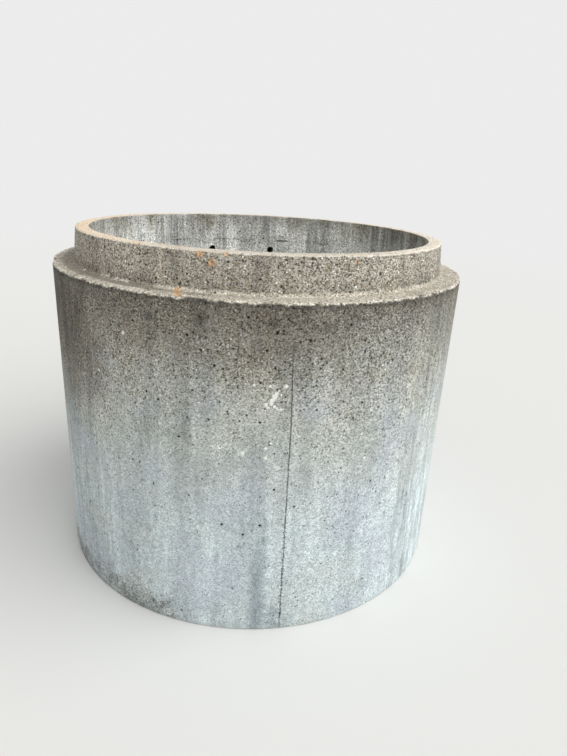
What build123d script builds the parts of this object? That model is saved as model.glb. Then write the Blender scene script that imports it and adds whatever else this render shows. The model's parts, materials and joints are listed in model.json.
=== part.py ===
# Precast concrete manhole riser: one cast ring of a shaft, with a tongue-and-groove joint.
# It stands on its groove end with the tongue up, as it is stored and as it is stacked.
# Origin at the centre of the bottom rim, +Z up the shaft, step holes on the +Y side.
# All sizes are in millimetres and degrees.

import os
from math import ceil, radians, sqrt, tan

from build123d import *

# Barrel: 48 inch clear shaft, 5 inch wall
shaft_dia = 1219.2
wall_thickness = 127.0
laying_length = 1089.0  # bottom rim to shoulder, the height that one ring adds to the shaft

# Tongue on the upper end, tapered so that the ring above centres itself
tongue_height = 111.0
tongue_tip_thickness = 46.7
joint_draft = 5.4  # slope of the tongue's outside and the groove's inside, from vertical

# Groove in the lower end, which closes over the tongue of the ring below
joint_side_gap = 5.0  # room for mortar or sealing rope between tongue and groove
joint_end_gap = 6.0  # room above the tongue's tip once the rims meet

# Edges as the mould leaves them
arris_radius = 4.0
root_radius = 8.0

# Blind holes for the step irons, two to a step
step_hole_dia = 28.6
step_hole_depth = 85.7
step_hole_spacing = 279.4
step_below_shoulder = 47.0  # top pair of holes to the shoulder
step_pitch_limit = 406.4  # the furthest apart that steps may be

# Worked out from the sizes above
shaft_radius = shaft_dia / 2
outer_radius = shaft_radius + wall_thickness
overall_height = laying_length + tongue_height
joint_slope = tan(radians(joint_draft))
tongue_tip_radius = shaft_radius + tongue_tip_thickness
tongue_root_radius = tongue_tip_radius + tongue_height * joint_slope
groove_depth = tongue_height + joint_end_gap
groove_mouth_radius = tongue_root_radius + joint_side_gap
groove_end_radius = groove_mouth_radius - groove_depth * joint_slope

# Steps divide the laying length evenly, so the ladder runs on at one pitch through a stack of rings
step_rows = ceil(laying_length / step_pitch_limit)
step_pitch = laying_length / step_rows
step_top_z = laying_length - step_below_shoulder
step_middle_z = step_top_z - step_pitch * (step_rows - 1) / 2
step_wall_y = sqrt(shaft_radius**2 - (step_hole_spacing / 2) ** 2)  # shaft wall at a hole's centre


# Wall in section as radius and height, each corner with its rounding, anticlockwise from the bottom
def wall_section():
    corners = [
        (outer_radius, 0, arris_radius),
        (outer_radius, laying_length, arris_radius),
        (tongue_root_radius, laying_length, root_radius),
        (tongue_tip_radius, overall_height, arris_radius),
        (shaft_radius, overall_height, arris_radius),
        (shaft_radius, groove_depth, arris_radius),
        (groove_end_radius, groove_depth, root_radius),
        (groove_mouth_radius, 0, arris_radius),
    ]
    points = [(radius, height) for radius, height, _ in corners]
    roundings = [rounding for _, _, rounding in corners]
    with BuildSketch(Plane.XZ) as section:
        with BuildLine():
            FilletPolyline(*points, radius=roundings, close=True)
        make_face()
    return section.sketch


# Ring turned from the section, with the grid of step holes sunk square into the +Y side
def riser_ring():
    step_plane = Plane(origin=(0, step_wall_y, step_middle_z), x_dir=(1, 0, 0), z_dir=(0, -1, 0))
    with BuildPart() as ring:
        revolve(wall_section(), axis=Axis.Z)
        with Locations(step_plane):
            with GridLocations(step_hole_spacing, step_pitch, 2, step_rows):
                Hole(step_hole_dia / 2, step_hole_depth)
    return ring.part


os.makedirs("parts", exist_ok=True)
export_step(riser_ring(), "parts/riser_ring.step")
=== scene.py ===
import json
import math
import random

import bmesh
import bpy
from mathutils import Matrix, Vector, noise


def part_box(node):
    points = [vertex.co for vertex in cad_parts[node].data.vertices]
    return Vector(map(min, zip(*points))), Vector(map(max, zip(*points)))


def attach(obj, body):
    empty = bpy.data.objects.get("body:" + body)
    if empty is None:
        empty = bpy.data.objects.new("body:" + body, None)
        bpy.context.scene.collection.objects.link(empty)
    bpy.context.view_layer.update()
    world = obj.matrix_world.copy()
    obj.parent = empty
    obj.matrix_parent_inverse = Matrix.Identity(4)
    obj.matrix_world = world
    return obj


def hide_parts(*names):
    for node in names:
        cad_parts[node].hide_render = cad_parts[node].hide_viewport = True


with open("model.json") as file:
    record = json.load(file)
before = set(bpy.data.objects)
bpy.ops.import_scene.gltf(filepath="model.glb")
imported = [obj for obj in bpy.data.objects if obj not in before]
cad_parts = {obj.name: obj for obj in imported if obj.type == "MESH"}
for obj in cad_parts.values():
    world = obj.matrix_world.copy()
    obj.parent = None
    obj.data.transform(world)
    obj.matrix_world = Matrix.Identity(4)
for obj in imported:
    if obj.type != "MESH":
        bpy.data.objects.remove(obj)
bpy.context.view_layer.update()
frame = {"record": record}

view = {  # where the camera stands, by the shaft's axis and the floor, and how it looks
    "distance": 2.159, "height": 1.415, "aroundDegrees": -98.9,
    "headingDegrees": 78.1, "downDegrees": 20.52, "rollDegrees": 3.09,
    "lensMm": 26.63, "filmMm": 36,
}
ring = {  # metres and degrees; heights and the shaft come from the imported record
    "tongueTipWall": 0.0467, "draftDegrees": 5.4, "jointSideGap": 0.005,
    "arris": 0.004, "root": 0.008,  # roundings of the outer and the inner corners
    "spinSteps": 360,
    "rowOutside": 0.020, "rowInside": 0.032, "rowEnds": 0.016, "rowUnder": 0.034,  # heights of the rows
    "guardRows": (0.005, 0.013),  # rows close beside a rounding, for its chips to bite into
    "flat": 0.015,  # a longer edge of the section is a flat, not part of a rounding
    "seed": 48,
}
mounts = {mount["name"]: mount for mount in frame["record"]["mounts"]}
shaftRadius = mounts["shaft_bore"]["dims"]["r_mm"] / 1000
outerRadius = round(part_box("riser_ring")[1].x, 4)
topZ = mounts["tongue_rim"]["pos_m"][2]
shoulderZ = mounts["shoulder"]["pos_m"][2]
grooveZ = mounts["groove_ledge"]["pos_m"][2]
draftSlope = math.tan(math.radians(ring["draftDegrees"]))
tipRadius = shaftRadius + ring["tongueTipWall"]
rootRadius = tipRadius + (topZ - shoulderZ) * draftSlope
mouthRadius = rootRadius + ring["jointSideGap"]
grooveEndRadius = mouthRadius - grooveZ * draftSlope


def radiusOf(co):
    return math.hypot(co.x, co.y)


def at(degrees, radius, height):
    turn = math.radians(degrees)
    return Vector((radius * math.cos(turn), radius * math.sin(turn), height))


def outwardFrom(co):
    return Vector((co.x, co.y, 0)).normalized()


def placeCamera():
    heading = math.radians(view["headingDegrees"])
    down = math.radians(view["downDegrees"])
    level = math.cos(down)
    forward = Vector((math.cos(heading) * level, math.sin(heading) * level, -math.sin(down)))
    turn = forward.to_track_quat("-Z", "Y").to_matrix().to_4x4()
    roll = Matrix.Rotation(math.radians(view["rollDegrees"]), 4, "Z")
    spot = at(view["aroundDegrees"], view["distance"], view["height"])
    camera = bpy.data.objects.new("camera", bpy.data.cameras.new("camera"))
    camera.data.sensor_width = view["filmMm"]
    camera.data.lens = view["lensMm"]
    camera.matrix_world = Matrix.Translation(spot) @ turn @ roll
    bpy.context.scene.collection.objects.link(camera)
    bpy.context.scene.camera = camera


def splitAt(edge, start, distances):
    # cuts an edge at these distances from its start, nearest first
    length, done = edge.calc_length(), 0
    for distance in distances:
        _, made = bmesh.utils.edge_split(edge, start, (distance - done) / (length - done))
        edge = next(e for e in made.link_edges if start not in e.verts)
        start, done = made, distance


def rowHeight(edge):
    # how far apart the rows stand on this part of the section
    middle = (edge.verts[0].co + edge.verts[1].co) / 2
    if abs(edge.verts[0].co.z - edge.verts[1].co.z) > topZ / 2:
        return ring["rowOutside"] if middle.x > rootRadius else ring["rowInside"]
    return ring["rowEnds"] if middle.z > topZ / 2 else ring["rowUnder"]


def wallSection(bm):
    corners = (  # radius, height, rounding, segments, in order round the wall's section
        (outerRadius, 0, ring["arris"], 2),
        (outerRadius, shoulderZ, ring["arris"], 3),
        (rootRadius, shoulderZ, ring["root"], 3),
        (tipRadius, topZ, ring["arris"], 3),
        (shaftRadius, topZ, ring["arris"], 3),
        (shaftRadius, grooveZ, ring["arris"], 2),
        (grooveEndRadius, grooveZ, ring["root"], 2),
        (mouthRadius, 0, ring["arris"], 2),
    )
    verts = [bm.verts.new((radius, 0, height)) for radius, height, _, _ in corners]
    for here, there in zip(verts, verts[1:] + verts[:1]):
        bm.edges.new((here, there))
    roundEnds = []
    for vert, (_, height, rounding, segments) in zip(verts, corners):
        made = bmesh.ops.bevel(bm, geom=[vert], offset=rounding, offset_type="OFFSET", affect="VERTICES",
                               segments=segments, profile=0.5, material=-1)
        ends = [v for v in made["verts"] if max(e.calc_length() for e in v.link_edges) > ring["flat"]]
        if height > grooveZ or vert is verts[0]:
            roundEnds += ends
    for vert in roundEnds:
        edge = max(vert.link_edges, key=lambda e: e.calc_length())
        splitAt(edge, vert, ring["guardRows"])
    for edge in [e for e in bm.edges if e.calc_length() > ring["flat"]]:
        rows = max(1, round(edge.calc_length() / rowHeight(edge)))
        bmesh.ops.subdivide_edges(bm, edges=[edge], cuts=rows - 1)


def roughNoise(co, wavelength, shift=0):
    return noise.noise(co / wavelength + Vector((shift, shift * 0.7, shift * 1.3)))


arrises = {  # inward is the way into the concrete; depth and reach are those of the chips
    "shoulder": {"radius": outerRadius, "height": shoulderZ, "inward": (-1, -1),
                 "depth": 0.0105, "reach": 0.024, "cuts": 2},
    "tongueOut": {"radius": tipRadius, "height": topZ, "inward": (-1, -1),
                  "depth": 0.0050, "reach": 0.014, "cuts": 1},
    "tongueIn": {"radius": shaftRadius, "height": topZ, "inward": (1, -1),
                 "depth": 0.0026, "reach": 0.012, "cuts": 1},
    "base": {"radius": outerRadius, "height": 0, "inward": (-1, 1),
             "depth": 0.0040, "reach": 0.014, "cuts": 1},
}
chips = {  # wavelengths in metres, and the share of the depth that each noise gives
    "even": 0.28, "fineWave": 0.010, "fine": 0.75, "coarseWave": 0.026, "coarse": 0.55, "crumble": 0.7,
    "biteWave": 0.060, "biteFrom": 0.25, "bite": 1.8, "fade": 1.2,
}


def fromArris(co, arris):
    return math.hypot(radiusOf(co) - arris["radius"], co.z - arris["height"])


def cutArrisBands(bm):
    # more columns along the arrises, fine enough for a ragged line
    level = 1e-5
    for arris in arrises.values():
        band = [e for e in bm.edges
                if abs(e.verts[0].co.z - e.verts[1].co.z) < level
                and abs(radiusOf(e.verts[0].co) - radiusOf(e.verts[1].co)) < level
                and fromArris(e.verts[0].co, arris) < arris["reach"]]
        bmesh.ops.subdivide_edges(bm, edges=band, cuts=arris["cuts"])


def chipArrises(bm):
    for number, arris in enumerate(arrises.values()):
        diagonal = Vector(arris["inward"]).normalized()
        for vert in bm.verts:
            away = fromArris(vert.co, arris)
            if away > arris["reach"]:
                continue
            onRim = vert.co.normalized() * arris["radius"]
            crumble = (chips["even"] + chips["fine"] * roughNoise(onRim, chips["fineWave"], number)
                       + chips["coarse"] * roughNoise(onRim, chips["coarseWave"], number + 5))
            bite = max(0, roughNoise(onRim, chips["biteWave"], number + 9) - chips["biteFrom"])
            share = min(1, max(0, crumble * chips["crumble"] + bite * chips["bite"]))
            amount = arris["depth"] * share * (1 - away / arris["reach"]) ** chips["fade"]
            vert.co += outwardFrom(vert.co) * diagonal.x * amount + Vector((0, 0, diagonal.y * amount))


wave = {"depth": 0.0008, "wide": 0.11, "narrow": 0.045, "fade": 0.03, "skin": 0.006}


def waveWalls(bm):
    # the slight unevenness of a cast wall, always inwards
    for vert in bm.verts:
        radius = radiusOf(vert.co)
        if radius < outerRadius - wave["skin"] or vert.co.z > shoulderZ:
            continue
        edgeFade = min(1, vert.co.z / wave["fade"], (shoulderZ - vert.co.z) / wave["fade"])
        dip = 0.5 + roughNoise(vert.co, wave["wide"]) * 0.5 + roughNoise(vert.co, wave["narrow"], 3) * 0.25
        scale = 1 - dip * wave["depth"] * edgeFade / radius
        vert.co.x *= scale
        vert.co.y *= scale


seam = {  # the form's upright joint; it leans a little between the drift heights
    "degrees": -90.8, "top": 1.045, "halfWidth": 0.0013, "depth": 0.0019,
    "rough": 0.0013, "roughBelow": 0.36, "roughWave": 0.03, "fade": 0.15,
    "drift": 0.0055, "driftHeights": (0.70, 0.98),
    "window": 0.011, "skin": 0.004,
}
formLine = {  # the fine line round the shaft where the form's parts met
    "belowRim": 0.1135, "halfWidth": 0.0015, "depth": 0.0016, "wave": 0.09, "window": 0.02, "skin": 0.002,
}


def facesWhere(bm, test):
    return [f for f in bm.faces if test(f.calc_center_median())]


def inOrder(parts):
    # each part once, in an order that is the same on every run
    return list(dict.fromkeys(parts))


def scoreLine(bm, faces, point, across, halfWidth, bend):
    # two cuts beside a line and one on it, whose vertices bend moves
    for offset in (-halfWidth, halfWidth, 0):
        spot = point + across * offset
        near = inOrder([*faces, *(e for f in faces for e in f.edges), *(v for f in faces for v in f.verts)])
        cut = bmesh.ops.bisect_plane(bm, geom=near, dist=1e-6, plane_co=spot, plane_no=across)
        faces = [g for g in cut["geom"] if isinstance(g, bmesh.types.BMFace) and g.is_valid]
    bend([g for g in cut["geom_cut"] if isinstance(g, bmesh.types.BMVert)])


def cutSeam(bm):
    outward = at(seam["degrees"], 1, 0)
    across = Vector((-outward.y, outward.x, 0))
    faces = facesWhere(bm, lambda c: abs(c.dot(across)) < seam["window"] and c.z < seam["top"]
                       and c.dot(outward) > outerRadius - seam["skin"])

    def bend(verts):
        for vert in verts:
            fade = max(0, min(1, (seam["top"] + 0.01 - vert.co.z) / seam["fade"]))
            torn = max(0, roughNoise(vert.co, seam["roughWave"], 7)) * seam["rough"]
            vert.co -= outward * fade * (seam["depth"] + torn * (vert.co.z < seam["roughBelow"]))
    scoreLine(bm, faces, outward * outerRadius, across, seam["halfWidth"], bend)

    low, high = seam["driftHeights"]
    for vert in bm.verts:
        if vert.co.dot(outward) > outerRadius - 0.01 and abs(vert.co.dot(across)) < seam["halfWidth"] * 1.5:
            share = min(1, max(0, (vert.co.z - low) / (high - low)))
            vert.co -= across * seam["drift"] * share * share * (3 - 2 * share)


def cutFormLine(bm):
    height = topZ - formLine["belowRim"]
    faces = facesWhere(bm, lambda c: abs(c.z - height) < formLine["window"]
                       and radiusOf(c) < shaftRadius + formLine["skin"])

    def bend(verts):
        for vert in verts:
            amount = formLine["depth"] * max(0, 0.45 + roughNoise(vert.co, formLine["wave"], 11))
            vert.co += outwardFrom(vert.co) * amount
    scoreLine(bm, faces, Vector((0, 0, height)), Vector((0, 0, 1)), formLine["halfWidth"], bend)


stepHoles = {"segments": 24, "depth": 0.0857, "reach": 0.06, "window": (0.024, 0.036)}


def sinkStepHole(bm, centre, holeRadius):
    # opens a window in the shaft's wall, closes it round a circle and draws that out to a blind tube
    outward = outwardFrom(centre)
    sideways = Vector((-outward.y, outward.x, 0))
    halfWide, halfTall = stepHoles["window"]
    window = facesWhere(bm, lambda c: (c - centre).length < stepHoles["reach"]
                        and abs((c - centre).dot(sideways)) < halfWide and abs(c.z - centre.z) < halfTall)
    edges = inOrder(e for f in window for e in f.edges)
    rim = [e for e in edges if sum(f in window for f in e.link_faces) == 1]
    bmesh.ops.delete(bm, geom=window, context="FACES")
    turn = Matrix.Translation(centre) @ Matrix.Rotation(math.radians(90), 4, "X")
    made = bmesh.ops.create_circle(bm, segments=stepHoles["segments"], radius=holeRadius, matrix=turn)
    mouth = made["verts"]
    for vert in mouth:  # the mouth lies on the shaft's curved wall
        vert.co.y = math.sqrt(shaftRadius ** 2 - vert.co.x ** 2)
    circle = inOrder(e for v in mouth for e in v.link_edges)
    bmesh.ops.bridge_loops(bm, edges=rim + circle)
    tube = bmesh.ops.extrude_edge_only(bm, edges=circle)["geom"]
    end = [g for g in tube if isinstance(g, bmesh.types.BMVert)]
    for vert in end:
        vert.co.y = centre.y + stepHoles["depth"]
    endEdges = [g for g in tube if isinstance(g, bmesh.types.BMEdge) and all(v in end for v in g.verts)]
    bmesh.ops.contextual_create(bm, geom=endEdges)


def sinkStepHoles(bm):
    for mount in mounts.values():
        if mount["kind"] != "bolt_pattern":
            continue
        half = mount["dims"]["spacing_x_mm"] / 2000
        for side in (-1, 1):
            centre = Vector((side * half, math.sqrt(shaftRadius ** 2 - half ** 2), mount["pos_m"][2]))
            sinkStepHole(bm, centre, mount["dims"]["hole_r_mm"] / 1000)


airHoles = {  # bug holes left by air at the form's face
    "outsideChance": (  # height, and the share of the faces there that get one
        (0.0, 0.010), (0.30, 0.016), (0.55, 0.030), (0.75, 0.055), (1.0, 0.070),
    ),
    "tongueChance": 0.05, "insideChance": 0.014,
    "radius": (0.0014, 0.0036), "fewLarge": 2.2, "scatter": 0.004,
    "wide": (0.85, 1.15), "tall": (0.85, 1.2), "ragged": (0.82, 1.18),
    "depth": 0.75, "steps": ((0.90, 0.50), (0.62, 1.0)),  # how far each step shrinks and sinks
    "smallestFace": 0.0095, "frame": 0.0025, "spread": 1.2, "margin": 0.0006, "skin": 0.003,
    "rimShade": 0.2, "deepShade": 1.0,  # painted shade: how dark the material draws the rim and the rest of a hole
    "placedOutside": (  # degrees, height and radius of the ones that stand out
        (-123.2, 0.502, 0.0046), (-105.7, 0.400, 0.0045), (-97.2, 0.403, 0.0047), (-100.4, 0.373, 0.0040),
        (-94.3, 0.528, 0.0039), (-68.5, 0.512, 0.0038), (-128.4, 0.235, 0.0031), (-136.0, 0.190, 0.0033),
        (-116.1, 0.674, 0.0038), (-124.2, 0.801, 0.0041), (-121.1, 0.784, 0.0040), (-113.7, 0.988, 0.0047),
        (-74.7, 0.977, 0.0046), (-95.1, 1.007, 0.0046), (-101.2, 1.050, 0.0038), (-62.9, 0.912, 0.0039),
        (-87.5, 0.991, 0.0041), (-95.0, 0.912, 0.0040), (-78.4, 1.031, 0.0041), (-131.3, 0.936, 0.0040),
        (-98.2, 0.865, 0.0039), (-83.5, 0.921, 0.0037), (-96.8, 0.957, 0.0039), (-65.4, 0.774, 0.0039),
        (-76.0, 0.743, 0.0038), (-107.8, 0.909, 0.0039), (-120.5, 1.036, 0.0037), (-110.7, 0.948, 0.0040),
        (-105.9, 0.900, 0.0037), (-101.6, 0.878, 0.0039), (-79.5, 0.894, 0.0038), (-70.0, 0.926, 0.0037),
        (-85.3, 0.806, 0.0035), (-74.2, 0.791, 0.0039), (-66.0, 0.991, 0.0038), (-112.7, 0.832, 0.0035),
    ),
    "placedInside": (
        (131.4, 1.190, 0.0039), (133.1, 1.172, 0.0039), (129.4, 1.165, 0.0039), (137.2, 1.157, 0.0039),
        (128.8, 1.143, 0.0039), (115.1, 1.154, 0.0039), (109.2, 1.122, 0.0039), (96.5, 1.138, 0.0039),
        (96.4, 1.109, 0.0039), (90.1, 1.077, 0.0039), (86.1, 1.161, 0.0039), (84.9, 1.127, 0.0039),
        (79.8, 1.093, 0.0039), (74.5, 1.096, 0.0039), (73.6, 1.117, 0.0039),
    ),
}


def chanceOnWall(height):
    steps = airHoles["outsideChance"]
    for (low, chanceLow), (high, chanceHigh) in zip(steps, steps[1:]):
        if height <= high:
            return chanceLow + (chanceHigh - chanceLow) * (height - low) / (high - low)
    return steps[-1][1]


def chanceAt(spot):
    radius = radiusOf(spot)
    if radius > outerRadius - airHoles["skin"] and spot.z < shoulderZ:
        return chanceOnWall(spot.z)
    if spot.z > shoulderZ + 0.01 and radius > tipRadius - 0.001:
        return airHoles["tongueChance"]
    return airHoles["insideChance"] if radius < shaftRadius + 0.002 else 0


def pickHoles(bm, rng):
    # face, place on it and radius of each air hole, no two on neighbouring faces
    picked, taken = [], set()

    def pick(face, spot, radius):
        if face.index not in taken:
            picked.append((face, spot, radius))
            taken.update(f.index for v in face.verts for f in v.link_faces)

    bm.faces.index_update()
    quads = [f for f in bm.faces if len(f.verts) == 4
             and min(e.calc_length() for e in f.edges) > airHoles["smallestFace"]]
    quads.sort(key=lambda f: [round(c, 4) for c in f.calc_center_median()])
    for places, wall in ((airHoles["placedOutside"], outerRadius), (airHoles["placedInside"], shaftRadius)):
        near = [f for f in quads if abs(radiusOf(f.calc_center_median()) - wall) < airHoles["skin"]]
        for degrees, height, radius in places:
            spot = at(degrees, wall, height)
            pick(min(near, key=lambda f: (f.calc_center_median() - spot).length_squared), spot, radius)
    low, high = airHoles["radius"]
    for face in quads:
        middle = face.calc_center_median()
        draw, size = rng.random(), rng.random()
        shift = Vector((rng.uniform(-1, 1), rng.uniform(-1, 1), rng.uniform(-1, 1))) * airHoles["scatter"]
        if draw < chanceAt(middle):
            pick(face, middle + shift, low + (high - low) * size ** airHoles["fewLarge"])
    return picked


def holeAxes(face, spot, radius):
    # centre of a hole, as near its spot as the face has room, and the three ways it is drawn by
    normal = face.normal.copy()
    across = Vector((0, 0, 1)).cross(normal).normalized()
    upward = normal.cross(across)
    centre = middle = face.calc_center_median()
    for way in (across, upward):
        half = max(abs((v.co - middle).dot(way)) for v in face.verts)
        room = max(0, half - radius * airHoles["spread"] - airHoles["margin"])
        centre = centre + way * max(-room, min(room, (spot - middle).dot(way)))
    return centre, across, upward, normal


def sinkAirHoles(bm, rng):
    holes = pickHoles(bm, rng)
    # the pit layer holds painted shade, which the material lays over each hole's rim and hollow
    pitShadeLayer = bm.verts.layers.float.new("pit")
    faces = [face for face, _, _ in holes]
    axes = [holeAxes(*hole) for hole in holes]
    bmesh.ops.inset_individual(bm, faces=faces, thickness=airHoles["frame"])
    for (face, _, radius), (centre, across, upward, normal) in zip(holes, axes):
        for edge in list(face.edges):
            bmesh.utils.edge_split(edge, edge.verts[0], 0.5)
        middle = face.calc_center_median()
        wide, tall = rng.uniform(*airHoles["wide"]), rng.uniform(*airHoles["tall"])
        for vert in face.verts:
            way = vert.co - middle
            angle = math.atan2(way.dot(upward), way.dot(across))
            reach = radius * rng.uniform(*airHoles["ragged"])
            vert.co = (centre + across * math.cos(angle) * reach * wide
                       + upward * math.sin(angle) * reach * tall)
            vert[pitShadeLayer] = airHoles["rimShade"]
    for shrink, sink in airHoles["steps"]:
        bmesh.ops.inset_individual(bm, faces=faces, thickness=0.0002)
        for (face, _, radius), (centre, across, upward, normal) in zip(holes, axes):
            for vert in face.verts:
                flat = vert.co - centre
                flat -= normal * flat.dot(normal)
                vert.co = centre + flat * shrink - normal * radius * airHoles["depth"] * sink
                vert[pitShadeLayer] = airHoles["deepShade"]
    return len(holes)


def makeRing():
    rng = random.Random(ring["seed"])
    bm = bmesh.new()
    wallSection(bm)
    bmesh.ops.spin(bm, geom=bm.verts[:] + bm.edges[:], axis=(0, 0, 1), cent=(0, 0, 0),
                   angle=math.tau, steps=ring["spinSteps"], use_merge=True)
    column = 360 / ring["spinSteps"]
    toSeam = math.radians(seam["degrees"] % column - column / 2)  # the seam runs up the middle of a column
    bmesh.ops.rotate(bm, verts=bm.verts[:], cent=(0, 0, 0), matrix=Matrix.Rotation(toSeam, 3, "Z"))
    bmesh.ops.recalc_face_normals(bm, faces=bm.faces[:])
    print("wall turned,", len(bm.faces), "faces")
    sinkStepHoles(bm)
    cutFormLine(bm)
    cutSeam(bm)
    bm.normal_update()
    print("seam, form line and step holes cut,", len(bm.faces), "faces")
    print(sinkAirHoles(bm, rng), "air holes sunk")
    cutArrisBands(bm)
    waveWalls(bm)
    chipArrises(bm)
    bmesh.ops.recalc_face_normals(bm, faces=bm.faces[:])
    mesh = bpy.data.meshes.new("riserRing")
    bm.to_mesh(mesh)
    print("open or doubled edges:", sum(not e.is_manifold for e in bm.edges))
    print("triangles:", sum(len(f.verts) - 2 for f in bm.faces))
    bm.free()
    piece = bpy.data.objects.new("riserRing", mesh)
    bpy.context.scene.collection.objects.link(piece)
    for polygon in mesh.polygons:
        polygon.use_smooth = True
    mesh.set_sharp_from_angle(angle=math.radians(38))
    return piece


def linear(red, green, blue):
    # a colour as read off a screen, 0 to 255, in the linear numbers that a shader takes
    tones = [value / 255 for value in (red, green, blue)]
    return tuple(t / 12.92 if t <= 0.04045 else ((t + 0.055) / 1.055) ** 2.4 for t in tones) + (1,)


class Shade:
    # wraps one output of a node, so that shader maths is written as plain expressions
    def __init__(self, socket):
        self.socket = socket

    def node(self, kind, settings, inputs, output=0):
        tree = self.socket.id_data
        made = tree.nodes.new(kind)
        for name, value in settings.items():
            if name == "stops":
                for number, (place, colour) in enumerate(value):
                    stops = made.color_ramp.elements
                    stop = stops[number] if number < 2 else stops.new(place)
                    stop.position = place
                    stop.color = colour
            else:
                setattr(made, name, value)
        for key, value in inputs.items():
            if isinstance(value, Shade):
                tree.links.new(value.socket, made.inputs[key])
            else:
                made.inputs[key].default_value = value
        return Shade(made.outputs[output])

    def beside(self, output):  # another output of the same node
        return Shade(self.socket.node.outputs[output])

    def maths(self, operation, first, second):
        return self.node("ShaderNodeMath", {"operation": operation}, {0: first, 1: second})

    def __add__(self, other):
        return self.maths("ADD", self, other)

    __radd__ = __add__

    def __sub__(self, other):
        return self.maths("SUBTRACT", self, other)

    def __rsub__(self, other):
        return self.maths("SUBTRACT", other, self)

    def __mul__(self, other):
        return self.maths("MULTIPLY", self, other)

    __rmul__ = __mul__

    def __truediv__(self, other):
        return self.maths("DIVIDE", self, other)

    def __pow__(self, other):
        return self.maths("POWER", self, other)

    def most(self, other):
        return self.maths("MAXIMUM", self, other)

    def rise(self, low, high):
        # 0 at low and 1 at high, smooth between; it falls where low is the larger
        smooth = {"interpolation_type": "SMOOTHSTEP", "clamp": False}  # it stays in 0 to 1 by itself
        return self.node("ShaderNodeMapRange", smooth, {"Value": self, "From Min": low, "From Max": high})

    def mix(self, first, second):
        # this share of the second colour over the first
        return self.node("ShaderNodeMix", {"data_type": "RGBA"}, {0: self, 6: first, 7: second}, 2)

    def vector(self, operation, other, output=0):
        return self.node("ShaderNodeVectorMath", {"operation": operation}, {0: self, 1: other}, output)

    def scaled(self, factor):
        return self.node("ShaderNodeVectorMath", {"operation": "SCALE"}, {0: self, "Scale": factor})

    def noise(self, wavelength, detail=2.0, stretch=1.0, output=0):
        # cloudy noise about 0, from -0.5 to 0.5; stretch draws it out up and down the wall
        place = self if stretch == 1 else self.vector("MULTIPLY", (1, 1, 1 / stretch))
        cloudy = place.node("ShaderNodeTexNoise", {}, {
            "Vector": place, "Scale": 1 / wavelength, "Detail": detail, "Roughness": 0.6}, output)
        return cloudy.vector("SUBTRACT", (0.5, 0.5, 0.5)) if output else cloudy - 0.5

    def dots(self, pitch, size, share):
        # round dots of about this size, on a share of the cells of a random pattern
        cell = self.node("ShaderNodeTexVoronoi", {}, {"Vector": self, "Scale": 1 / pitch})
        draw = cell.node("ShaderNodeSeparateColor", {}, {"Color": cell.beside("Color")})
        there = (draw - share).rise(0.03, -0.03)
        return (cell * (pitch / size) - draw.beside("Green") * 0.7).rise(0.75, 0.35) * there


class Field:
    # where a point lies on the ring, and the random patterns that its finishes share
    def __init__(self, place):
        self.place = place
        self.x = place.node("ShaderNodeSeparateXYZ", {}, {0: place})
        self.z = self.x.beside("Z")
        level = place.vector("MULTIPLY", (1, 1, 0))
        self.radius = level.vector("LENGTH", (0, 0, 0), "Value")
        self.outward = level.vector("NORMALIZE", (0, 0, 0))
        self.cloud = place.noise(0.22, 6)
        self.tint = place.noise(0.20, 1)
        self.blotch = place.noise(0.075, 5)
        self.mottle = place.noise(0.026, 4)
        self.grain = place.noise(0.0052, 2)
        self.pock = place.noise(0.0066, 2)
        self.streakWide = place.noise(0.10, 3, 10)
        self.streakMid = place.noise(0.042, 3, 11)
        self.streakFine = place.noise(0.019, 3, 9)
        self.streakHair = place.noise(0.010, 2, 18)
        cells = place.node("ShaderNodeTexVoronoi", {}, {"Vector": place, "Scale": 1 / 0.0032}, 1)
        grains = cells.node("ShaderNodeSeparateColor", {}, {"Color": cells})
        self.sand = grains - 0.5
        self.darkDraw, self.paleDraw = grains.beside("Green"), grains.beside("Blue")
        self.ragged = place.vector("ADD", place.noise(0.008, 3, 1, "Color").scaled(0.014))
        self.uneven = place.vector("ADD", place.noise(0.006, 2, 1, "Color").scaled(0.007))
        self.bend = self.mottle * 0.010 + self.streakFine * 0.012  # how a run strays from its upright line
        self.drift = self.z + self.blotch * 0.06  # a height with uneven ends
        self.onSeamSide = self.facing(seam["degrees"]).rise(0.90, 0.95)
        self.fromSeam = self.sideways(seam["degrees"]) + self.z.rise(*seam["driftHeights"]) * seam["drift"]

    def facing(self, degrees):  # 1 on the side that looks this way, -1 behind
        turn = math.radians(degrees)
        return self.outward.vector("DOT_PRODUCT", (math.cos(turn), math.sin(turn), 0), "Value")

    def sideways(self, degrees):  # metres to the right of an upright line, as seen from outside
        turn = math.radians(degrees)
        return self.place.vector("DOT_PRODUCT", (-math.sin(turn), math.cos(turn), 0), "Value")


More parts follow.
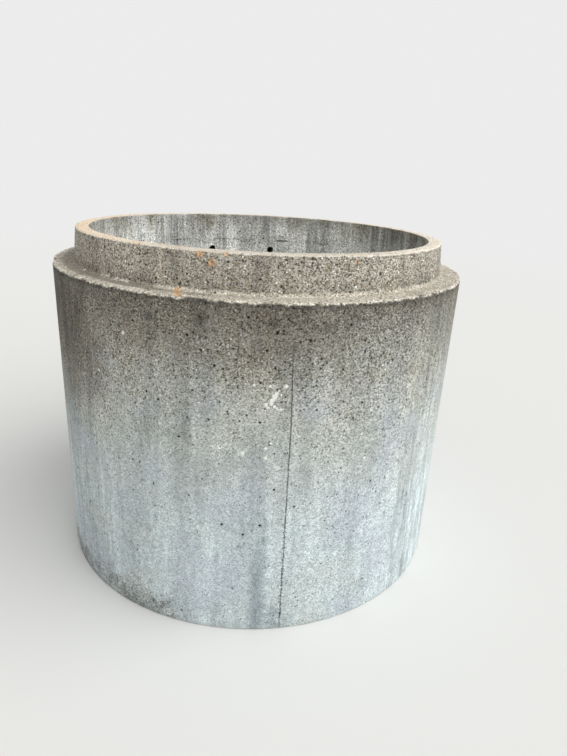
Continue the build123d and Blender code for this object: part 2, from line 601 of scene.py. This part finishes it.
class Zones:
    # each is 1 on its stretch of the ring's surface and 0 off it
    def __init__(self, field):
        z, radius, mottle = field.z, field.radius, field.mottle
        shaft = radius.rise(shaftRadius + 0.0045, shaftRadius + 0.0015)
        self.inside = shaft * z.rise(grooveZ, grooveZ + 0.01)
        self.rim = (z + mottle * 0.003).rise(topZ - 0.0055, topZ - 0.0025)
        self.upper = z.rise(shoulderZ - 0.0050, shoulderZ - 0.0015)
        self.ledge = self.upper * (z + mottle * 0.020).rise(shoulderZ + 0.014, shoulderZ + 0.005)
        groove = z.rise(grooveZ + 0.004, grooveZ - 0.004)
        groove = groove * radius.rise(outerRadius - 0.006, outerRadius - 0.010)
        self.under = groove.most(z.rise(0.003, 0.001))
        fromShoulder = ((radius - outerRadius) ** 2 + (z - shoulderZ) ** 2) ** 0.5
        self.arris = (fromShoulder + mottle * 0.016 + field.streakFine * 0.004).rise(0.009, 0.003)
        lipShadow = (z + mottle * 0.022 + field.grain * 0.012).rise(shoulderZ - 0.021, shoulderZ - 0.013)
        lipShadow = lipShadow * radius.rise(outerRadius - 0.020, outerRadius - 0.012)
        self.lipShadow = lipShadow * (1 - self.upper)  # a ragged dark line of painted shadow under the shoulder's edge


wallTones = (  # height in metres and the colour there, 0 to 255, from the ground up
    (0.00, (184, 194, 195)), (0.12, (193, 204, 206)), (0.36, (193, 204, 205)), (0.48, (188, 197, 197)),
    (0.60, (180, 187, 185)), (0.72, (174, 178, 173)), (0.82, (165, 166, 158)), (0.91, (145, 143, 133)),
    (1.00, (126, 121, 110)), (1.10, (104, 99, 89)),
)
skinTones = {  # the plain colour of each other stretch
    "tongue": (163, 157, 145), "ledge": (199, 192, 177), "ledgeDamp": (150, 143, 130),
    "rim": (235, 226, 209), "lichen": (212, 164, 112),
    "inside": (212, 213, 208), "insideStain": (130, 126, 113), "under": (172, 173, 167),
}
washes = {  # a colour that is laid over another, and how much of it
    "lilac": ((181, 188, 200), 0.34), "cream": ((186, 188, 178), 0.22), "cool": ((163, 168, 163), 0.28),
    "seam": ((86, 87, 84), 0.75), "blueStain": ((128, 141, 147), 0.64), "soil": ((112, 113, 106), 0.68),
    "chalk": ((238, 237, 230), 0.94), "tongueFoot": ((132, 127, 116), 0.45),
    "ledgeFoot": ((216, 209, 194), 0.75), "arris": ((216, 209, 194), 0.85),
    "rimPink": ((236, 210, 179), 0.80),
}


def skinTone(name):
    return linear(*skinTones[name])


def wash(colour, mask, name):
    tone, cover = washes[name]
    return (mask * cover).mix(colour, linear(*tone))


def spots(place, marks, soft):
    # 1 within any of these marks, each a place and a size, with edges this soft
    total = None
    for spot, size in marks:
        mask = (place.vector("DISTANCE", spot, "Value") / size).rise(1 + soft, 1 - soft)
        total = mask if total is None else total.most(mask)
    return total


def uprightBands(field, marks):
    # upright bands, each paler or darker than the wall round it by its strength; most are streaks, and a few
    # in the tongue's and the inside's tables are painted shade and painted light
    total = 0
    for degrees, halfWidth, low, high, strength in marks:
        across = field.sideways(degrees) + field.bend
        body = (across * across).rise(halfWidth * halfWidth * 2, halfWidth * halfWidth * 0.15) * strength
        foot, head = field.drift.rise(low - 0.05, low + 0.04), field.drift.rise(high + 0.04, high - 0.05)
        total = body * foot * head + total
    return total * (1 + field.streakFine * 1.6)


wallRuns = (  # degrees, half-width, lowest and highest place, strength: above 0 paler, below 0 darker
    (-127.0, 0.100, 0.80, 1.12, 0.10), (-143.2, 0.016, 0.88, 1.00, 0.12), (-125.6, 0.010, 0.75, 0.90, 0.15),
    (-119.2, 0.024, 0.48, 0.95, 0.08), (-115.2, 0.024, 0.42, 0.74, -0.05),
    (-114.3, 0.012, 0.66, 0.98, -0.17), (-112.6, 0.009, 0.64, 0.97, 0.14),
    (-109.4, 0.016, 0.46, 0.90, -0.06), (-105.6, 0.025, 0.66, 0.90, 0.15),
    (-102.9, 0.014, 0.80, 0.95, -0.14), (-97.9, 0.018, 0.42, 0.72, -0.11), (-94.2, 0.014, 0.04, 0.77, 0.08),
    (-138.5, 0.030, 0.24, 0.72, 0.07), (-134.0, 0.014, 0.31, 0.74, -0.08),
    (-127.1, 0.022, 0.20, 0.61, -0.09), (-121.2, 0.026, 0.22, 0.67, 0.06),
    (-87.7, 0.010, 0.80, 1.00, -0.18), (-86.8, 0.016, 0.52, 0.80, -0.09), (-82.7, 0.016, 0.72, 0.95, 0.14),
    (-78.7, 0.014, 0.56, 0.93, 0.08), (-74.9, 0.040, 0.28, 0.42, -0.08), (-139.5, 0.046, 0.93, 1.08, 0.24),
    (-46.0, 0.050, 0.20, 0.74, 0.12), (-141.0, 0.036, 0.73, 0.90, -0.26), (-99.5, 0.050, 0.74, 0.92, 0.22),
    (-110.0, 0.045, 0.61, 0.76, 0.18), (-57.0, 0.045, 0.79, 1.03, 0.15), (-48.0, 0.060, 0.84, 1.12, 0.11),
    (-61.3, 0.030, 0.38, 0.58, 0.05), (-103.6, 0.044, 0.00, 0.33, 0.10), (-49.1, 0.011, 0.97, 1.08, -0.42),
    (-47.6, 0.012, 0.90, 0.99, 0.26), (-50.5, 0.009, 0.74, 0.92, -0.18), (-48.1, 0.009, 0.74, 0.90, 0.14),
)


def weatheredWall(field):
    # dark and worn at the top, paler and bluer below, with upright streaks
    z = field.z
    farLeft = field.facing(-165).rise(0.83, 0.99)
    weathered = (z + field.cloud * 0.22 + field.blotch * 0.16 + field.streakWide * 0.18
                 + field.streakMid * 0.10 + farLeft * (0.05 + z.rise(0.30, 0.80) * 0.10))
    sound = field.facing(-98).rise(0.91, 0.985) * z.rise(0.88, 0.76)  # the skin holds best low at the front
    worn = (weathered + field.blotch * 0.5).rise(0.50, 1.02) * (1 - sound * 0.35)
    span = wallTones[-1][0]
    stops = [(height / span, linear(*tone)) for height, tone in wallTones]
    colour = weathered.node("ShaderNodeValToRGB", {"stops": stops}, {0: weathered / span})

    # the two flanks show fine upright lines, the right one more of them
    flank = field.facing(-38).rise(0.90, 0.97).most(field.facing(-152).rise(0.93, 0.99) * 0.45)
    streaks = (field.streakMid * (0.66 + worn * 0.30 + flank * 0.50) + field.streakWide * 0.58
               + field.streakFine * (0.24 + worn * 0.22 + flank * 0.60) + field.streakHair * flank * 1.1)
    placed = uprightBands(field, wallRuns) * field.facing(-95).rise(0.0, 0.2)
    # painted shade: the far left side, turned away from the key light, is drawn up to 22% darker above
    # mid-height
    shade = field.facing(-165).rise(0.94, 0.99) * z.rise(0.45, 0.75) * 0.22
    patches = field.mottle * 0.60 + field.blotch * (0.36 + worn * 0.60)
    colour = colour.scaled(1 + streaks + placed - shade + patches)

    colour = wash(colour, field.tint.rise(0.0, -0.16) * (1 - worn), "lilac")
    colour = wash(colour, field.tint.rise(0.02, 0.20) * (1 - worn * 0.6), "cream")
    cool = field.facing(-58).rise(0.91, 0.98) * z.rise(0.84, 0.93) * z.rise(1.075, 1.02)
    return wash(colour, cool, "cool"), worn, flank


def drawSeam(field, colour):
    # a grey line on the form's joint, torn below, with a paler beam beside it
    z, mottle, fromSeam = field.z, field.mottle, field.fromSeam
    beam = fromSeam.rise(0.001, 0.005) * fromSeam.rise(0.036, 0.016)
    beam = beam * z.rise(0.25, 0.45) * z.rise(0.90, 0.72)
    colour = colour.scaled(1 + beam * field.onSeamSide * 0.13)
    wander = fromSeam + mottle * 0.004 + field.grain * 0.0008
    line = wander.rise(-0.0034, -0.0010) * wander.rise(0.0034, 0.0010) * z.rise(1.02, 0.86)
    line = line * (field.streakFine + field.grain * 1.5).rise(-0.24, 0.05) * (1 - z.rise(0.40, 0.20) * 0.35)
    torn = fromSeam.rise(-0.0075, -0.002) * fromSeam.rise(0.0065, 0.002)
    torn = torn * (z + mottle * 0.2).rise(0.50, 0.34) * field.onSeamSide
    return wash(colour, line * field.onSeamSide, "seam"), torn


dampBlots = (  # degrees, height and size
    (-123.0, 1.023, 0.012), (-110.9, 1.025, 0.015), (-95.9, 1.030, 0.016), (-84.0, 1.020, 0.012),
)


def stainWall(field, colour):
    # run-off stains left of the seam, a short crack, soil at the left foot, damp blots below the shoulder
    z, mottle, fromSeam = field.z, field.mottle, field.fromSeam
    fromStain = fromSeam + 0.078 + mottle * 0.05 + field.grain * 0.02
    stain = fromStain.rise(-0.040, -0.006) * fromStain.rise(0.046, 0.006)
    stain = stain * (z + field.streakFine * 0.4 + field.streakMid * 0.4 + mottle * 0.2).rise(0.60, 0.06)
    low = fromSeam.rise(-0.052, -0.036) * fromSeam.rise(-0.004, -0.016) * (z + mottle * 0.1).rise(0.15, 0.05)
    colour = wash(colour, stain.most(low * 0.8) * field.onSeamSide, "blueStain")

    arc = z - 0.090 - fromSeam.rise(-0.205, -0.165) * 0.010 + mottle * 0.030
    crack = arc.rise(-0.0026, -0.0008) * arc.rise(0.0026, 0.0008) * fromSeam.rise(-0.215, -0.200)
    crack = crack * fromSeam.rise(-0.135, -0.150) * field.grain.rise(-0.10, 0.0)
    colour = colour.scaled(1 - crack * field.facing(-104).rise(0.9, 0.95) * 0.45)

    soil = (z + mottle * 0.22 + field.blotch * 0.20 + field.grain * 0.24).rise(0.13, -0.03)
    soil = soil * field.facing(-145).rise(0.84, 0.93)
    colour = wash(colour, soil, "soil")

    damp = spots(field.ragged, [(at(d, outerRadius, height), size) for d, height, size in dampBlots], 0.6)
    return colour.scaled(1 - damp * 0.42), soil


chalkMarks = (  # degrees, height and size of pale splashes: one smear and single specks
    (-93.9, 0.843, 0.0040), (-94.3, 0.834, 0.0056), (-94.7, 0.824, 0.0072), (-95.2, 0.813, 0.0070),
    (-95.4, 0.802, 0.0050), (-96.5, 0.800, 0.0054), (-96.0, 0.790, 0.0040), (-94.6, 0.795, 0.0052),
    (-94.0, 0.788, 0.0046), (-93.2, 0.787, 0.0036), (-99.2, 0.858, 0.0050), (-95.9, 0.855, 0.0040),
    (-92.4, 0.856, 0.0060), (-96.2, 0.664, 0.0052), (-101.2, 0.647, 0.0060), (-95.1, 0.681, 0.0035),
    (-96.2, 0.634, 0.0045), (-138.5, 0.823, 0.0055), (-129.7, 0.961, 0.0050), (-73.0, 0.686, 0.0045),
    (-71.5, 0.600, 0.0045),
)


def splashChalk(field):
    splashes = [(at(degrees, outerRadius, height), size) for degrees, height, size in chalkMarks]
    return spots(field.ragged, splashes, 0.12) * field.grain.rise(-0.20, -0.12)


tongueRunsAndShade = (
    (-122.9, 0.013, 1.10, 1.19, 0.22), (-119.4, 0.011, 1.10, 1.20, -0.32), (-135.0, 0.050, 1.13, 1.21, 0.14),
    (-104.6, 0.014, 1.11, 1.16, -0.12), (-93.0, 0.090, 1.17, 1.21, -0.16), (-60.0, 0.060, 1.12, 1.17, 0.10),
    # the dark run at -48 degrees is painted shade in the corner at the tongue's foot
    (-48.0, 0.036, 1.06, 1.135, -0.34), (-141.0, 0.150, 1.08, 1.17, 0.18), (-121.5, 0.036, 1.08, 1.17, 0.26),
)


def tongueFinish(field):
    foot = (field.z + field.mottle * 0.05 + field.streakWide * 0.06).rise(shoulderZ + 0.050, shoulderZ)
    colour = wash(skinTone("tongue"), foot, "tongueFoot")
    band = field.streakWide.rise(-0.05, -0.16)
    # upright streaks, and painted shade at the tongue's foot near -48 degrees
    placed = uprightBands(field, tongueRunsAndShade) * field.facing(-95).rise(0.0, 0.2)
    streaks = field.streakMid * 0.45 + field.streakFine * 0.4 + field.blotch * 0.45
    return colour.scaled(1.06 + placed + streaks - band * 0.20)


def ledgeFinish(field):
    leftSide = field.facing(-155).rise(0.45, 0.95) * (field.radius + field.mottle * 0.02).rise(0.722, 0.700)
    damp = (field.blotch + field.mottle * 0.6).rise(0.02, 0.16) * 0.6
    colour = damp.most(leftSide).mix(skinTone("ledge"), skinTone("ledgeDamp"))
    foot = (field.radius + field.mottle * 0.012).rise(rootRadius + 0.016, rootRadius + 0.008)
    foot = foot * (field.blotch + field.mottle * 0.5).rise(0.0, 0.07) * field.facing(-138).rise(0.70, 0.90)
    return wash(colour, foot, "ledgeFoot").scaled(1 + field.mottle * 0.8 + field.grain * 0.5)


def rimFinish(field):
    farSide = field.facing(172).rise(0.3, 1.0)
    pink = (field.blotch * 1.2 + field.mottle * 0.8 + farSide * 0.28).rise(0.04, 0.28)
    nearSide = field.facing(-96).rise(0.74, 0.93)
    return wash(skinTone("rim"), pink, "rimPink").scaled(1 + field.mottle * 0.45 - nearSide * 0.18)


insideRunsAndLight = (
    # the pale runs at 38 and 34 degrees are painted light on the inner wall where it lies out of the key
    # light
    (38.0, 0.110, 1.03, 1.17, 0.36), (34.0, 0.140, 1.14, 1.24, 0.24), (28.0, 0.036, 1.02, 1.24, -0.26),
    (16.0, 0.060, 1.02, 1.24, -0.22), (57.0, 0.018, 1.04, 1.20, -0.20), (52.0, 0.026, 1.04, 1.19, -0.08),
    (61.8, 0.020, 1.03, 1.19, 0.34), (66.4, 0.028, 1.05, 1.17, 0.44), (71.6, 0.026, 1.07, 1.17, 0.34),
    (79.0, 0.012, 1.10, 1.20, -0.30), (88.5, 0.022, 1.02, 1.17, -0.14), (94.2, 0.026, 1.02, 1.14, 0.26),
    (99.0, 0.016, 1.02, 1.17, -0.24), (103.5, 0.018, 1.03, 1.17, 0.14), (115.0, 0.070, 1.03, 1.19, -0.16),
    (122.5, 0.046, 1.08, 1.19, -0.26), (128.8, 0.022, 1.08, 1.19, -0.20), (135.0, 0.028, 1.06, 1.17, 0.26),
    (145.5, 0.040, 1.08, 1.18, 0.24),
)
linePieces = (  # from and to, in metres across the shaft, and how plain the form line is there
    (-0.31, -0.26, 0.42), (-0.13, -0.01, 0.28), (0.01, 0.09, 0.28), (0.165, 0.218, 1.0), (0.218, 0.29, 0.50),
    (0.352, 0.385, 0.60),
)


def drawFormLine(field):
    # the line itself, and the shadow below it
    plain = (field.cloud + field.mottle).rise(0.0, 0.16) * field.facing(-90).rise(-0.2, 0.2) * 0.8
    for start, end, strength in linePieces:
        along = field.x.rise(start - 0.010, start + 0.006) * field.x.rise(end + 0.010, end - 0.006)
        plain = plain.most(along * field.facing(90).rise(0.2, 0.4) * (strength + field.mottle))
    fromLine = field.z - topZ + formLine["belowRim"] + field.streakFine * 0.001 + field.grain * 0.002
    fromLine = fromLine * (1.6 - plain)
    line = fromLine.rise(-0.0042, -0.0012) * fromLine.rise(0.0036, 0.0012) * plain
    below = fromLine.rise(0.004, -0.002) * fromLine.rise(-0.06, -0.01) * field.facing(100).rise(0.7, 0.95)
    return line, below


def insideFinish(field):
    # stains run down from the rim; near the rim, painted shade darkens the side away from the key light, and
    # painted light brightens the wall at 34 to 38 degrees
    run = topZ - field.z
    # partly painted shade and partly brown stain: near the rim, the inner wall on the side away from the key
    # light is drawn darker and browner
    shadeAndBrownStain = field.facing(4).rise(0.80, 0.94) * run.rise(0.16, 0.06)
    stain = field.streakWide * 0.8 + field.streakMid + field.streakFine * 0.9 + field.blotch * 0.6
    dark = (stain - run * 4.0 + shadeAndBrownStain * 0.22).rise(-0.52, 0.30)
    colour = dark.mix(skinTone("inside"), skinTone("insideStain"))
    line, below = drawFormLine(field)
    # upright streaks, and painted light at 34 to 38 degrees
    placed = uprightBands(field, insideRunsAndLight) * field.facing(90).rise(0.0, 0.2)
    fine = field.streakFine * (0.5 + run.rise(0.40, 0.05) * 0.6)
    hairs = field.streakHair * (0.25 + run.rise(0.40, 0.05) * 1.05)
    return colour.scaled(1 + placed + fine + hairs + field.streakMid * 0.4 + field.blotch * 0.2
                         - line * 0.78 - below * 0.16)


lichens = (  # degrees, radius from the axis, height and size
    (-113.3, 0.657, 1.192, 0.010), (-110.4, 0.659, 1.169, 0.011), (-106.9, 0.657, 1.195, 0.007),
    (-74.8, 0.658, 1.182, 0.006), (-118.4, 0.673, 1.089, 0.011), (-117.7, 0.690, 1.089, 0.013),
    (-117.0, 0.707, 1.089, 0.013), (-116.3, 0.722, 1.087, 0.012),
)


def layFinishes(field, on, wallColour):
    # each stretch's own finish over the wall's
    colour = on.upper.mix(wallColour, tongueFinish(field))
    colour = on.ledge.mix(colour, ledgeFinish(field))
    # painted shadow: the wall just under the shoulder's edge is drawn up to 36% darker
    colour = wash(colour.scaled(1 - on.lipShadow * 0.36), on.arris, "arris")
    colour = on.rim.mix(colour, rimFinish(field))
    growth = spots(field.uneven, [(at(*place), size) for *place, size in lichens], 0.45)
    colour = (growth * (0.62 + field.mottle * 1.2)).mix(colour, skinTone("lichen"))
    colour = on.inside.mix(colour, insideFinish(field))
    return on.under.mix(colour, skinTone("under"))


grit = {  # pitch and size of the dots in metres, and how dark each kind is drawn
    "pit": (0.021, 0.0036), "speck": (0.0078, 0.0026),
    "pockDark": 0.70, "speckDark": 0.90, "pitDark": 0.86, "airHoleShade": 0.93, "grainDark": 0.62,
}


def roughen(field, on, colour, worn, torn, flank):
    # sand, pocks and pits: bare and dense where the skin is worn, few where it is sound
    grain, mottle = field.grain, field.mottle
    level = on.rim * 0.75 + on.ledge * (1 - on.rim) * 0.35
    bare = worn.most(on.upper * (1 - on.inside)) * (1 - on.under) * (1 - on.inside) * (1 - level)
    bare = bare + on.inside * 0.40
    rightward = field.facing(-40).rise(0.58, 0.84)
    pocks = (field.pock + bare * 0.062 + rightward * 0.006 + torn * (1 - on.upper) * 0.05).rise(0.176, 0.212)
    pits = field.uneven.dots(*grit["pit"], 0.03 + rightward * 0.03 + bare * 0.20 + on.inside * 0.12)
    specks = field.uneven.dots(*grit["speck"], 0.018 + rightward * 0.040 + bare * 0.26 + on.inside * 0.08)
    darkGrains = (field.darkDraw + bare * 0.050 + rightward * 0.004).rise(0.985, 0.993)
    flecks = (field.paleDraw + bare * 0.030).rise(0.985, 0.993)
    airHole = colour.node("ShaderNodeAttribute", {"attribute_name": "pit"}, {}, "Fac")

    dark = (pocks * grit["pockDark"]).most(specks * grit["speckDark"]).most(pits * grit["pitDark"])
    # painted shade in the air holes, drawn by their pit attribute
    dark = dark.most(airHole * grit["airHoleShade"]).most(darkGrains * grit["grainDark"])
    aside = field.facing(-99).rise(0.97, 0.5) * 0.3
    sharp = (0.70 + bare * 0.66 - on.rim * 0.50 - on.ledge * 0.10) * (
        1 + aside + rightward * 0.2 - flank * (1 - on.upper) * 0.5)
    tone = colour.node("ShaderNodeRGBToBW", {}, {0: colour})
    colour = colour.vector("ADD", tone * ((grain * 0.50 + field.sand * 0.90) * sharp))
    colour = colour.scaled((1 - dark) * (1 + flecks * (0.20 + bare * 0.60)))
    relief = grain * 0.0011 * (0.35 + bare) + mottle * 0.0014 - pocks * 0.0012 - pits * 0.0016
    return colour, relief, airHole


def castConcrete():
    material = bpy.data.materials.new("castConcrete")
    material.use_nodes = True
    tree = material.node_tree
    surface = tree.nodes["Principled BSDF"]
    field = Field(Shade(tree.nodes.new("ShaderNodeTexCoord").outputs["Object"]))
    on = Zones(field)
    colour, worn, flank = weatheredWall(field)
    colour, torn = drawSeam(field, colour)
    colour, soil = stainWall(field, colour)
    colour = layFinishes(field, on, colour)
    worn = worn.most(torn).most(soil * 0.8)
    colour, relief, airHole = roughen(field, on, colour, worn, torn, flank)
    colour = wash(colour, splashChalk(field) * (1 - on.upper), "chalk")
    roughness = 0.86 + field.mottle * 0.2 + airHole * 0.05
    bump = relief.node("ShaderNodeBump", {}, {"Height": relief, "Distance": 1.0, "Strength": 0.8})
    for shade, name in ((colour, "Base Color"), (roughness, "Roughness"), (bump, "Normal")):
        tree.links.new(shade.socket, surface.inputs[name])
    return material


studio = {
    "sky": 0.50, "key": 2.4, "keyFrom": -38, "keyHeight": 42, "keySpread": 75,
    "floorTone": (232, 232, 229), "backdrop": 0.84, "floorRadius": 60, "floorFades": (3, 12),
}


def lightStudio():
    world = bpy.data.worlds.new("studio")
    bpy.context.scene.world = world
    world.use_nodes = True
    tree = world.node_tree
    plain = tree.nodes["Background"]
    plain.inputs["Strength"].default_value = studio["sky"]
    plain.inputs["Color"].default_value = (1, 1, 1, 1)
    path = Shade(tree.nodes.new("ShaderNodeLightPath").outputs["Is Camera Ray"])
    seen = path.most(path.beside("Is Glossy Ray")).most(path.beside("Is Transmission Ray"))
    backdrop = seen.node("ShaderNodeBackground", {}, {"Color": (1, 1, 1, 1), "Strength": studio["backdrop"]})
    both = seen.node("ShaderNodeMixShader", {}, {0: seen, 1: Shade(plain.outputs[0]), 2: backdrop})
    tree.links.new(both.socket, tree.nodes["World Output"].inputs[0])

    lamp = bpy.data.lights.new("key", "SUN")
    lamp.energy = studio["key"]
    lamp.angle = math.radians(studio["keySpread"])
    key = bpy.data.objects.new("key", lamp)
    height = math.radians(studio["keyHeight"])
    toLamp = at(studio["keyFrom"], math.cos(height), math.sin(height))
    key.rotation_euler = toLamp.to_track_quat("Z", "Y").to_euler()
    bpy.context.scene.collection.objects.link(key)
    bpy.context.scene.view_settings.view_transform = "Standard"


def floorMaterial():
    material = bpy.data.materials.new("floor")
    material.use_nodes = True
    tree = material.node_tree
    surface = tree.nodes["Principled BSDF"]
    surface.inputs["Base Color"].default_value = linear(*studio["floorTone"])
    surface.inputs["Roughness"].default_value = 0.9
    place = Shade(tree.nodes.new("ShaderNodeTexCoord").outputs["Object"])
    far = place.vector("LENGTH", (0, 0, 0), "Value").rise(*studio["floorFades"])
    seen = far.node("ShaderNodeLightPath", {}, {}, "Is Camera Ray") * far
    backdrop = far.node("ShaderNodeEmission", {}, {"Color": (1, 1, 1, 1), "Strength": studio["backdrop"]})
    both = far.node("ShaderNodeMixShader", {}, {0: seen, 1: Shade(surface.outputs[0]), 2: backdrop})
    tree.links.new(both.socket, tree.nodes["Material Output"].inputs[0])
    return material


def layFloor():
    bm = bmesh.new()
    bmesh.ops.create_circle(bm, cap_ends=True, radius=studio["floorRadius"], segments=96)
    mesh = bpy.data.meshes.new("floor")
    bm.to_mesh(mesh)
    bm.free()
    mesh.materials.append(floorMaterial())
    floor = bpy.data.objects.new("floor", mesh)
    bpy.context.scene.collection.objects.link(floor)


placeCamera()
lightStudio()
layFloor()
print("camera, light and floor placed")
riser = makeRing()
riser.data.materials.append(castConcrete())
print("concrete finished")
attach(riser, "root")
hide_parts("riser_ring")
